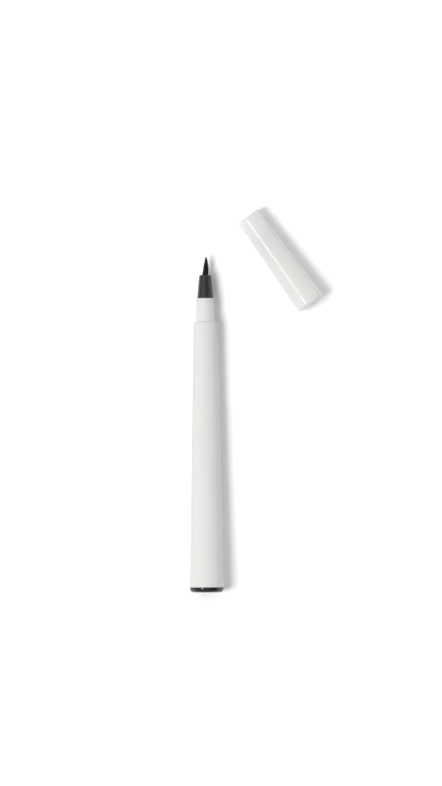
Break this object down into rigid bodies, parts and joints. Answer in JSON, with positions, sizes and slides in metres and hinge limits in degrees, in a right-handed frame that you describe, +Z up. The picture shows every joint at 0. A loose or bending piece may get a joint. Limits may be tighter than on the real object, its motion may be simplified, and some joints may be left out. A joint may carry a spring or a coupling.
{
  "type": "liquid eyeliner pen",
  "caption": "Uncapped liquid eyeliner pen lying beside its flared cap: tapered barrel, stepped neck, cone nib holder with a pointed brush tip.",
  "frame": {"origin": "on the table, under the middle of the box round the pen and its cap", "axes": "+Y along the pen from its tail to its brush, +X towards the cap, +Z up from the table"},
  "size_m": [0.049, 0.1398, 0.0126],
  "materials": {
    "barrel_white": "satin moulded white",
    "plug_black": "polished black",
    "collar_white": "satin moulded white",
    "tank_natural": "natural translucent",
    "stopper_natural": "natural, soft",
    "ball_steel": "polished bearing ball",
    "holder_black": "satin moulded black",
    "brush_black": "inked synthetic filaments",
    "wick_fibre": "bonded fibre rod, ink stained",
    "collector_black": "fine moulded fins",
    "cap_milky": "milky glossy white",
    "inner_cap_natural": "natural, soft sealing plastic",
    "spring_steel": "drawn stainless wire"
  },
  "bodies": {
    "pen": {"barrel": "barrel_white", "end_plug": "plug_black", "collar": "collar_white", "ink_tank": "tank_natural", "tank_stopper": "stopper_natural", "nib_holder": "holder_black", "brush_tip": "brush_black", "feed_wick": "wick_fibre", "collector": "collector_black"},
    "mixing_ball": {"mixing_ball": "ball_steel"},
    "cap": {"cap_shell": "cap_milky", "seal_spring": "spring_steel"},
    "inner_cap": {"inner_cap": "inner_cap_natural"}
  },
  "joints": [
    {"name": "cap_pull", "type": "slide", "parent": "pen", "child": "cap", "axis": [0.5793, -0.8151, 0], "range_m": [-0.0238, 0]},
    {"name": "inner_cap_press", "type": "slide", "parent": "cap", "child": "inner_cap", "axis": [0.579, -0.8148, 0.029], "range_m": [0, 0.0015], "stiffness_N_per_m": 300, "springref_m": -0.0015, "deforming": ["seal_spring"]},
    {"name": "mixing_ball_roll", "type": "slide", "parent": "pen", "child": "mixing_ball", "axis": [0, -0.9998, 0.0199], "range_m": [0, 0.03994]}
  ]
}
